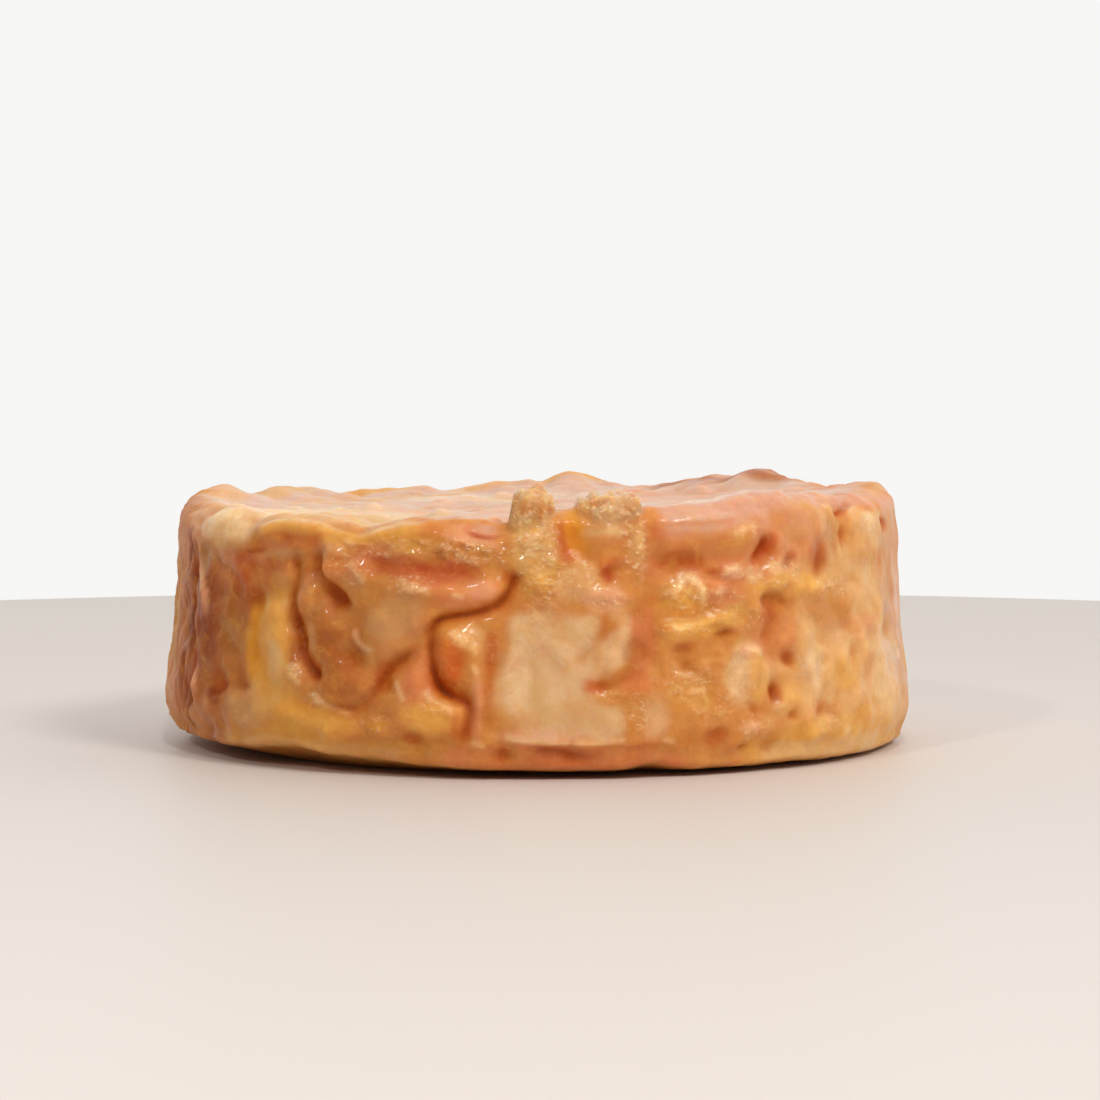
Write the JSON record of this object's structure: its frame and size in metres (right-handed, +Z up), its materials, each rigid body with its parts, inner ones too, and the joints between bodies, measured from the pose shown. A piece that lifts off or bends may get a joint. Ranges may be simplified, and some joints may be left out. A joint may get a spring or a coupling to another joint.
{
  "type": "epoisses cheese",
  "caption": "Whole small round washed-rind soft cheese with a wet orange folded rind, a bumpy rim and crusty drips, resting on its flat base.",
  "frame": {"origin": "centre of the flat base, on the surface that the cheese rests on", "axes": "+Z up; -Y towards the front of the reference view; +X to the right of that view"},
  "size_m": [0.1061, 0.1052, 0.0384],
  "materials": {
    "rind": "wet washed rind, orange to pale cream, glossy where it is moist"
  },
  "bodies": {
    "root": {"cheese": "rind"}
  },
  "joints": []
}
